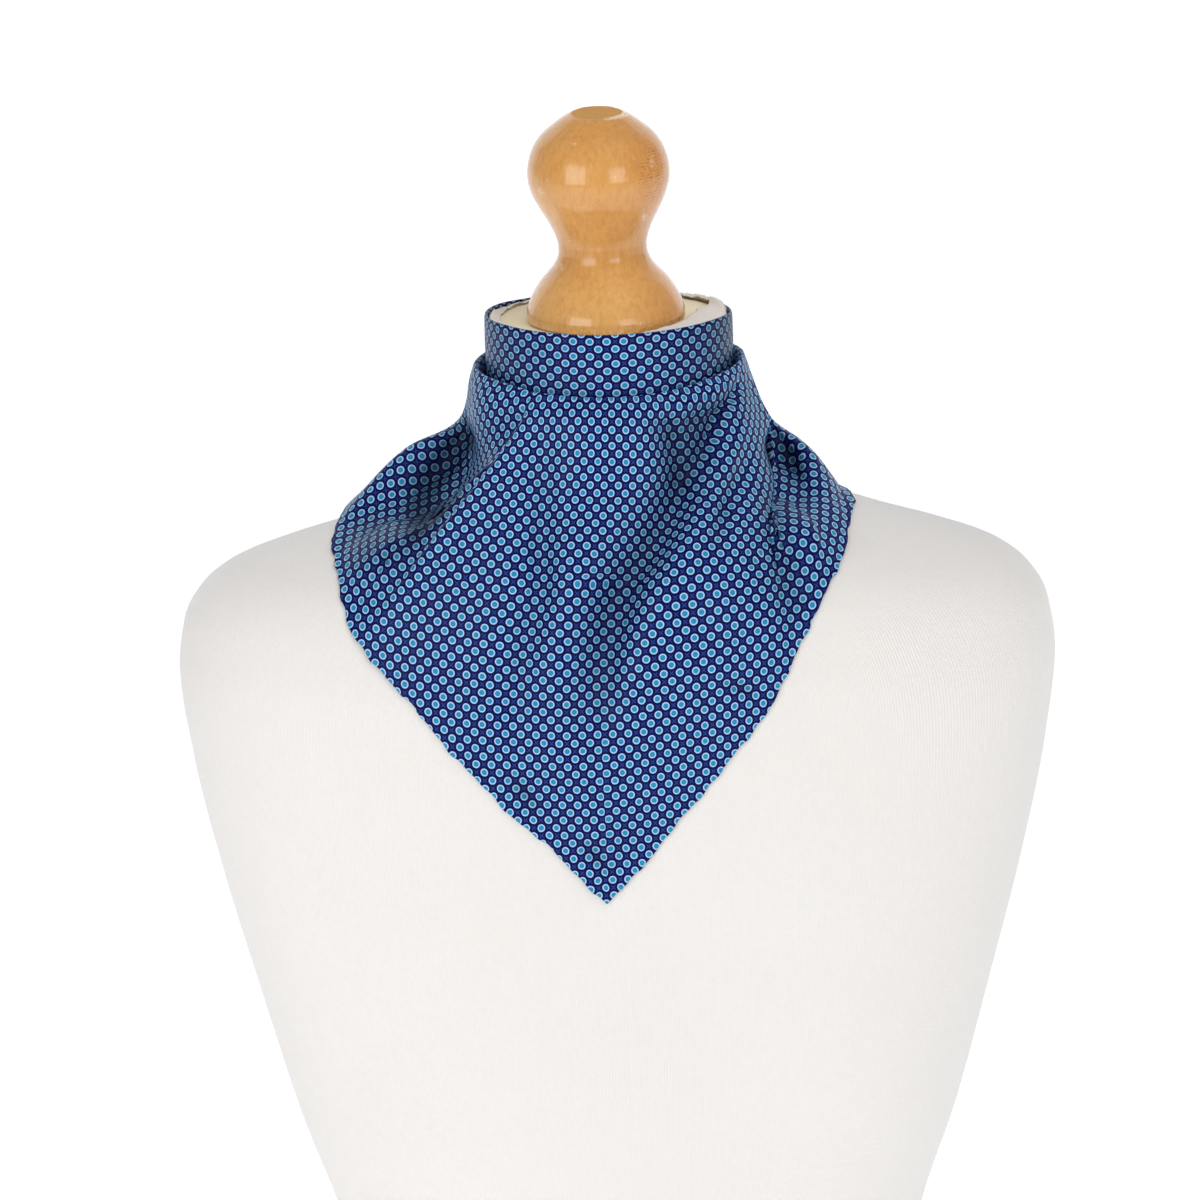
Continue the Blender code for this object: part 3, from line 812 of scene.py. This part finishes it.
girth = ((around + math.pi / 2) * BAND_RADIUS + SHIFT_ROUND) * DIAGONAL / DOTS_ROUND
band_down = (fine - SHIFT_DOWN) * DIAGONAL / DOTS_DOWN
u, v = np.broadcast_arrays(girth[:, None], -band_down[None, :])
band_flat = np.stack([(u + v) / math.sqrt(2), (v - u) / math.sqrt(2)], axis=-1)
band_sheet = grid_sheet(band, band_flat, closed=True, turned=True)
neck_band = smooth_piece("scarf_band", band_sheet, SILK)
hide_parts("scarf_neck_band")
# Painted shade: the band's print is deepened towards its sides, more on the picture's right, through the
# attribute hollow.
aside = np.array([vert.co.x / 0.06 for vert in neck_band.data.vertices])
paint_shade(neck_band, np.where(aside > 0, 0.66, 0.4) * np.abs(aside) ** 1.9 + 0.04)

# %% [markdown]
# A maker turns the finial from beech on a lathe and varnishes it. So here its outline is spun
# round the axis; then a flat is cut on its top, sloping to the front, and it is set a little
# aslant, as the real one stands. The finish is honey varnish over fine upright grain, with a
# rippled figure on one side, pale scuffs from handling, and bare wood on the flat. SCUFFS gives
# each scuff's place across and up, and its half width and half height.

# %% Varnished beech
SCUFFS = [
    (-28, 710, 0.9, 0.9), (-31, 703, 2.2, 3), (-11, 697, 2.4, 0.5), (23, 717, 1.2, 3.2),
    (19, 689, 1.8, 2.6), (-22, 664, 1.2, 2), (-18, 678, 1.4, 0.6), (-14, 727, 1.6, 0.8),
    (17, 640, 5, 1), (4, 712, 2.6, 0.4),
]
FLAT_HEIGHT, FLAT_SLOPE = 738.2, 0.0875


def varnished_beech():
    varnish = {"Specular IOR Level": 0.12, "Coat Roughness": 0.17, "Coat IOR": 1.6}
    wood = Finish("varnished_beech", varnish)
    place = wood.place()
    x, y, z = wood.xyz(place)
    streak = wood.noise(wood.stretch(place, (420, 420, 90)), 1.0, 4.0, 0.65)
    fleck = wood.noise(wood.stretch(place, (900, 900, 260)), 1.0, 3.0, 0.6)
    cloud = wood.noise(place, 26.0, 3.0)
    base = wood.mix(cloud, paint(208, 142, 66), paint(226, 168, 90))
    # Painted light: the foot is made paler, where its flare faces up into the light from above.
    base = wood.mix((1 - z.soft_step(0.645, 0.672)) * 0.5, base, paint(244, 190, 112))
    # Painted shade: the side on the picture's right, turned from the stronger soft box, is made a deeper
    # orange.
    base = wood.mix(x.soft_step(0.004, 0.034) * 0.45, base, paint(204, 124, 48))
    grain = wood.mix(streak.soft_step(0.4, 0.72) * 0.35, base, paint(186, 110, 38))
    pores = wood.mix(fleck.soft_step(0.56, 0.74) * 0.34, grain, paint(240, 194, 124))
    aside, above = (x - 0.023) * 110, (z - 0.711) * 62
    to_side = aside * aside + above * above
    ticks = (z * 4300 + wood.noise(place, 700.0, 2.0) * 9).sine().soft_step(0.35, 0.9)
    figure = ticks * (1 - to_side.soft_step(0.2, 1.0)) * wood.noise(place, 480.0, 2.0).soft_step(0.42, 0.6)
    tone = wood.mix(figure * 0.7, pores, paint(154, 80, 22))
    rough = wood.noise(place, 1100.0, 4.0, 0.8).soft_step(0.48, 0.62)
    scuff = rough * 0.0
    for sx, sz, wide, high in SCUFFS:
        dx, dz = (x - sx * MM) * (1 / (wide * MM)), (z - sz * MM) * (1 / (high * MM))
        spot = 1 - (dx * dx + dz * dz).soft_step(0.3, 1.2)
        scuff = scuff.most(spot * (1 - y.soft_step(-0.006, 0.0)) * rough)
    on_flat = (z - y * FLAT_SLOPE).soft_step(0.73805, 0.73818)
    off = x + 0.0029
    from_axis = (off * off + y * y).root()
    rim = from_axis.soft_step(0.0122, 0.0134) * (1 - from_axis.soft_step(0.0152, 0.0165))
    rim = rim * z.soft_step(0.7360, 0.7368) * x.soft_step(-0.001, 0.003)
    rim = rim * (1 - y.soft_step(-0.004, 0.004)) * wood.noise(place, 900.0, 3.0).soft_step(0.38, 0.5)
    foot = (1 - z.soft_step(0.6365, 0.6395)) * wood.noise(place, 620.0, 3.0).soft_step(0.5, 0.6) * 0.5
    worn = scuff.most(rim).most(foot)
    tone = wood.mix(on_flat * 0.5, tone, paint(206, 158, 92))
    wood.set("Base Color", wood.mix(worn * 0.78, tone, paint(248, 228, 196)))
    wood.set("Roughness", 0.38 + worn * 0.25 + on_flat * 0.3)
    wood.set("Coat Weight", 1 - on_flat)
    wood.bump(streak * 0.5 + fleck * 0.5 + figure * 0.4, 0.1, 0.0003)
    return wood.material


BEECH = varnished_beech()

# %% [markdown]
# The finial could be a smoothed stack of cylinders, but one spun outline is how a lathe shapes
# it. The outline runs from the top down, as radius and height. Every point above the sloping
# flat is then brought down onto it, and LEAN moves each height sideways.

# %% Finial
outline = [
    (0, 740.3), (7, 739.9), (12.6, 738), (17.4, 735.4), (22, 732), (25.8, 729), (28.6, 726),
    (30.7, 723), (32.3, 719.8), (33.5, 716.4), (34.4, 712.6), (34.8, 708.6), (34.5, 704.6), (33.6, 701),
    (32.2, 697), (30.2, 692.8), (28, 688.8), (25.9, 685), (24, 681), (22.6, 677.2), (21.7, 673.2),
    (21.8, 669.4), (22.8, 665.8), (24.6, 662.6), (27.6, 659.2), (31, 655.4), (34.2, 650.8), (36.6, 646.4),
    (38.1, 642.8), (38.9, 639.4), (38.8, 637), (38.3, 635.7), (37.2, 635.1), (0, 635.1),
]
outline = np.array(outline, float)
spread = run_along(outline)
fine = np.unique(np.concatenate([np.linspace(0, spread[-1], 130), spread]))
turning = np.stack([steady(fine, spread, outline[:, k]) for k in (0, 1)], axis=-1)
bm = bmesh.new()
chain = [bm.verts.new((r, 0, z)) for r, z in turning]
edges = [bm.edges.new(pair) for pair in zip(chain[:-1], chain[1:])]
turn = {"cent": (0, 0, 0), "axis": (0, 0, 1), "angle": 2 * math.pi, "steps": 120}
bmesh.ops.spin(bm, geom=chain + edges, use_merge=True, **turn)
bmesh.ops.remove_doubles(bm, verts=bm.verts, dist=0.001)
LEAN = [636, 655, 672, 700, 740], [-1.0, -1.2, -1.8, -2.9, -2.9]
for vert in bm.verts:
    x, y, z = vert.co
    z = min(z, FLAT_HEIGHT + FLAT_SLOPE * y)
    vert.co = (x + np.interp(z, *LEAN), y, z)
bmesh.ops.recalc_face_normals(bm, faces=bm.faces)
finial = smooth_piece("finial_turned", bm, BEECH)
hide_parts("form_finial")

# %% [markdown]
# A cream board closes the neck inside the band, and the jersey's raw edge is turned in over it.
# The board is a disc with a small bevel. The jersey edge is a soft ring: INNER says how far in it
# reaches at each angle in degrees, a wide flap on the picture's right and a narrow border
# elsewhere. STANDS says how high it stands up against the band, and FLAP_RISE how far the flap
# lifts off the board.

# %% Cap and turned edge
def cap_board():
    board = Finish("cap_board", {"Roughness": 0.75})
    place = board.place()
    mottle = board.noise(place, 60.0, 4.0)
    board.set("Base Color", board.mix(mottle, paint(246, 234, 194), paint(253, 245, 216)))
    board.bump(board.noise(place, 500.0, 3.0), 0.2, 0.0003)
    return board.material


bm = bmesh.new()
bmesh.ops.create_cone(bm, cap_ends=True, segments=96, radius1=57.6, radius2=57.6, depth=2.6)
bmesh.ops.translate(bm, vec=(0, 0, 633.6), verts=bm.verts)
rim = [e for e in bm.edges if abs(e.calc_face_angle(0)) > 1]
bmesh.ops.bevel(bm, geom=rim, offset=0.5, segments=2, affect="EDGES", profile=0.5, material=-1)
cap = smooth_piece("neck_cap_board", bm, cap_board())
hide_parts("form_neck_cap")


INNER = np.array(
    [(-180, 52.5), (-170, 49.5), (-153, 47.5), (-120, 45.5), (-60, 41), (-10, 40), (9, 44),
        (21, 53.4), (28, 56.6), (140, 57), (158, 55.4), (175, 53), (180, 52.5)]
).T
STANDS = np.array(
    [(-180, 1.6), (-150, 1.2), (-60, 1.2), (-20, 1.6), (8, 2.8), (20, 3), (35, 2.3), (55, 1.6),
        (80, 1), (150, 0.7), (166, 2.4), (174, 2), (180, 1.6)]
).T
FLAP_RISE = [-80, -50, 14, 30], [0, 1.7, 1.7, 0]
OUTER, CREST = 58.5, 58.0


def turned_edge():
    """Jersey edge turned over the board: (columns round, rows across)."""
    ring = np.zeros((361, 15, 3))
    for i, turn in enumerate(np.linspace(-180, 180, 361)):
        angle = math.radians(turn)
        ragged = 0.35 * math.sin(31 * angle) + 0.25 * math.sin(57 * angle + 1) + 0.3 * math.sin(13 * angle)
        inner = np.interp(turn, *INNER) + ragged * 0.7
        stands = np.interp(turn, *STANDS) + ragged * 0.35
        for j, t in enumerate(np.linspace(0, 1, 15)):
            radius = OUTER + (inner - OUTER) * t
            crest = math.exp(-(((CREST - radius) / 2.2) ** 2))
            z = 635.35 + stands * crest + 0.12 * math.sin(19 * angle + 5 * t) * t
            z += float(np.interp(turn, *FLAP_RISE)) * min(1, 4 * t)
            if t == 0:
                z = 633.0
            ring[i, j] = (radius * math.cos(angle), radius * math.sin(angle), z)
    ring[-1] = ring[0]
    return ring


edge_points = turned_edge()
edge_sheet = grid_sheet(edge_points, arc_flat(edge_points), closed=True)
jersey_edge = smooth_piece("jersey_turned_edge", edge_sheet, JERSEY)
wall(jersey_edge, THIN_WALL)

# %% [markdown]
# A cut knit frays into short threads. Hair could make them, but thin cones of three sides stay
# light. They stand along the turned edge at the back right, each leaning its own way, and the
# random draws start from one fixed seed.

# %% Frayed threads
chance = np.random.default_rng(4)
bm = bmesh.new()
THREADS = 230
for _ in range(THREADS):
    turn = math.radians(chance.triangular(4, 24, 62))
    height = 635.2 + float(np.interp(math.degrees(turn), *STANDS))
    made = bmesh.ops.create_cone(bm, segments=3, radius1=0.16, radius2=0.05, depth=chance.uniform(1.0, 3.2))
    lean = Matrix.Rotation(chance.normal(0, 0.55), 4, "X") @ Matrix.Rotation(chance.normal(0, 0.6), 4, "Y")
    spot = Vector((CREST * math.cos(turn), CREST * math.sin(turn), height + chance.uniform(-0.5, 0.4)))
    bmesh.ops.transform(bm, matrix=Matrix.Translation(spot) @ lean, verts=made["verts"])
frayed = smooth_piece("jersey_frayed_threads", bm, JERSEY)
print("frayed threads:", len(frayed.data.polygons) // 3)

# %% [markdown]
# The nape is out of sight in the picture, so it is plain: a small knot of the same silk with the
# square's two ends hanging below it. TAIL gives an end's middle and its half width from top to
# bottom.

# %% Knot and tails
KNOT_WIDE, KNOT_DEEP, KNOT_HIGH = 13.2, 10.0, 12.8
KNOT_BEHIND, KNOT_HEIGHT = 72.5, 603.0
bm = bmesh.new()
bmesh.ops.create_uvsphere(bm, u_segments=64, v_segments=40, radius=1.0)
for vert in bm.verts:
    x, y, z = vert.co
    pinch = 1 - 0.18 * math.exp(-((x / 0.35) ** 2))
    groove = 1 - 0.05 * abs(math.sin(4 * math.atan2(z, y) + 2.5 * x))
    y = y * KNOT_DEEP * groove + KNOT_BEHIND
    vert.co = Vector((x * KNOT_WIDE, y, z * KNOT_HIGH * pinch * groove + KNOT_HEIGHT))
layer = bm.loops.layers.uv.new("cut")
for face in bm.faces:
    for loop in face.loops:
        co = loop.vert.co
        loop[layer].uv = ((co.x + co.z) * 0.75 * MM, (co.z - co.x) * 0.75 * MM)
knot = smooth_piece("scarf_nape_knot", bm, SILK)
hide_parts("scarf_knot")

TAIL = np.array([(0, 5, 4), (0.2, 9, 8), (0.45, 16, 13), (0.7, 22, 11), (0.9, 27, 6.5), (1, 29, 4)])
TAIL_TOP, TAIL_DROP = 591.6, 65


def tail_points(side):
    """Grid of one end of the square, side -1 on the picture's left and 1 on its right."""
    grid = np.zeros((25, 61, 3))
    for i, s in enumerate(np.linspace(-1, 1, 25)):
        for j, t in enumerate(np.linspace(0, 1, 61)):
            middle = steady(t, TAIL[:, 0], TAIL[:, 1])
            half = steady(t, TAIL[:, 0], TAIL[:, 2])
            x = side * (middle + s * half * 0.8)
            y = 74 + 5 * math.sin(math.pi * t) + 1.4 * math.cos(3.2 * s) * min(1, 3 * t)
            grid[i, j] = (x, y, TAIL_TOP - TAIL_DROP * t - 0.12 * x * side)
    return clear_of_form(grid, 1.4)


tails = []
for side, name in ((-1, "left"), (1, "right")):
    points = tail_points(side)
    flat = arc_flat(points)
    flat = np.stack([(flat[..., 0] + flat[..., 1]), (flat[..., 1] - flat[..., 0])], axis=-1) / math.sqrt(2)
    tail_sheet = grid_sheet(points, flat, turned=side > 0)
    tail = smooth_piece("scarf_end_" + name, tail_sheet, SILK)
    wall(tail, 0.5)
    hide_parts("scarf_tail_" + name)
    tails.append(tail)

# %% [markdown]
# The area of each stretch of silk is worked out from its grid of points, and the drape's is printed.

# %% Cloth facts
def sheet_area(points):
    """Area of a grid of points in square metres."""
    p, q, r, s = points[:-1, :-1], points[1:, :-1], points[:-1, 1:], points[1:, 1:]
    a, b = np.cross(q - p, r - p), np.cross(q - s, r - s)
    return float(np.linalg.norm(a, axis=-1).sum() + np.linalg.norm(b, axis=-1).sum()) / 2e6


print("drape area", round(sheet_area(drape), 4))
round(sheet_area(drape), 3)
for tail in tails:
    round(sheet_area(tail_points(1)), 4)

# %% [markdown]
# The picture is a bright studio shot: a seamless pale floor that glows a little round and behind
# the object, as overexposed paper does, a soft box on either side of the camera and one above,
# and white all round. The upper one is kept out of reflections, as the varnish shows only two.

# %% Studio
PAPER_WIDE, PAPER_DEEP, PAPER_BEND, PAPER_HIGH = 6000, 4000, 1200, 5000
BOX_DISTANCE = 2.2


def backdrop():
    """Seamless paper: a level floor, a round bend behind it and an upright part."""
    pale = {"Base Color": (0.9, 0.91, 0.92, 1.0), "Roughness": 0.9, "Emission Strength": 0.5}
    plain = Finish("seamless_paper", pale)
    _, y, _ = plain.xyz(plain.place())
    black, glow = (0.0, 0.0, 0.0, 1.0), (0.97, 0.985, 1.0, 1.0)
    plain.set("Emission Color", plain.mix(y.soft_step(-2.6, -0.2), black, glow))
    bm = bmesh.new()
    bmesh.ops.create_grid(bm, x_segments=1, y_segments=60, size=1.0)
    for vert in bm.verts:
        t = (vert.co.y + 1) / 2
        x = vert.co.x * PAPER_WIDE
        if t < 0.5:
            vert.co = (x, -PAPER_DEEP + t * 4 * PAPER_DEEP, 0)
        else:
            s = (t - 0.5) * 2
            angle = min(1, s * 2) * math.pi / 2
            rise = max(0, s * 2 - 1) * PAPER_HIGH
            y = PAPER_DEEP + PAPER_BEND * math.sin(angle)
            vert.co = (x, y, PAPER_BEND * (1 - math.cos(angle)) + rise)
    paper = in_metres("seamless_paper", bm, plain.material)


backdrop()


def soft_box(name, azimuth, elevation, size, energy):
    """Square soft box aimed at the neck."""
    target = Vector((0, 0, 0.6))
    a, e = math.radians(azimuth), math.radians(elevation)
    way = Vector((math.sin(a) * math.cos(e), -math.cos(a) * math.cos(e), math.sin(e)))
    lamp = bpy.data.lights.new(name, "AREA")
    lamp.shape = "SQUARE"
    lamp.size = size
    lamp.energy = energy
    obj = bpy.data.objects.new(name, lamp)
    obj.location = target + way * BOX_DISTANCE
    obj.rotation_euler = (-way).to_track_quat("-Z", "Y").to_euler()
    bpy.context.scene.collection.objects.link(obj)
    return obj


soft_box("soft_box_left", azimuth=-38, elevation=10, size=1.3, energy=14.2)
soft_box("soft_box_right", azimuth=31, elevation=10, size=1.0, energy=7.4)
upper = soft_box("soft_box_top", azimuth=35, elevation=62, size=1.4, energy=16.0)
upper.visible_glossy = False
ROOM_LIGHT = 0.40
world = bpy.data.worlds.new("white_room")
world.use_nodes = True
room = world.node_tree
bearing = room.nodes.new("ShaderNodeTexCoord")
height = room.nodes.new("ShaderNodeSeparateXYZ")
shade = room.nodes.new("ShaderNodeMapRange")
tint = room.nodes.new("ShaderNodeMix")
tint.data_type = "RGBA"
plug(room, shade.inputs["From Min"], 0.1)
plug(room, shade.inputs["From Max"], 0.9)
plug(room, tint.inputs[6], (0.95, 0.97, 1.0, 1.0))
plug(room, tint.inputs[7], (0.9, 0.91, 0.93, 1.0))
room.links.new(bearing.outputs["Generated"], height.inputs[0])
room.links.new(height.outputs["Z"], shade.inputs["Value"])
room.links.new(shade.outputs["Result"], tint.inputs[0])
room.links.new(tint.outputs[2], room.nodes["Background"].inputs["Color"])
plug(room, room.nodes["Background"].inputs["Strength"], ROOM_LIGHT)
bpy.context.scene.world = world
bpy.context.scene.view_settings.view_transform = "Standard"

# %% [markdown]
# The camera has the photograph's place, in metres, and its long lens. It could be aimed at a
# target, but its three axes written as a matrix keep both angles exact: it looks down by about a
# sixth of a right angle, and it is rolled a little, because the real form stands slightly aslant
# in the picture.

# %% Camera
CAMERA_PLACE = (-0.0079, -2.54252, 1.20201)
pitch, roll = math.radians(15.6), math.radians(1.6)
ahead = Vector((0, math.cos(pitch), -math.sin(pitch)))
right0 = Vector((1, 0, 0))
up0 = Vector((0, math.sin(pitch), math.cos(pitch)))
right = right0 * math.cos(roll) - up0 * math.sin(roll)
up = right0 * math.sin(roll) + up0 * math.cos(roll)
lens = bpy.data.cameras.new("camera")
lens.lens = 159.18
lens.sensor_width = 36
lens.clip_end = 50
camera = bpy.data.objects.new("camera", lens)
rows = [(right[k], up[k], -ahead[k], CAMERA_PLACE[k]) for k in range(3)]
camera.matrix_world = Matrix((*rows, (0, 0, 0, 1)))
bpy.context.scene.collection.objects.link(camera)
bpy.context.scene.camera = camera
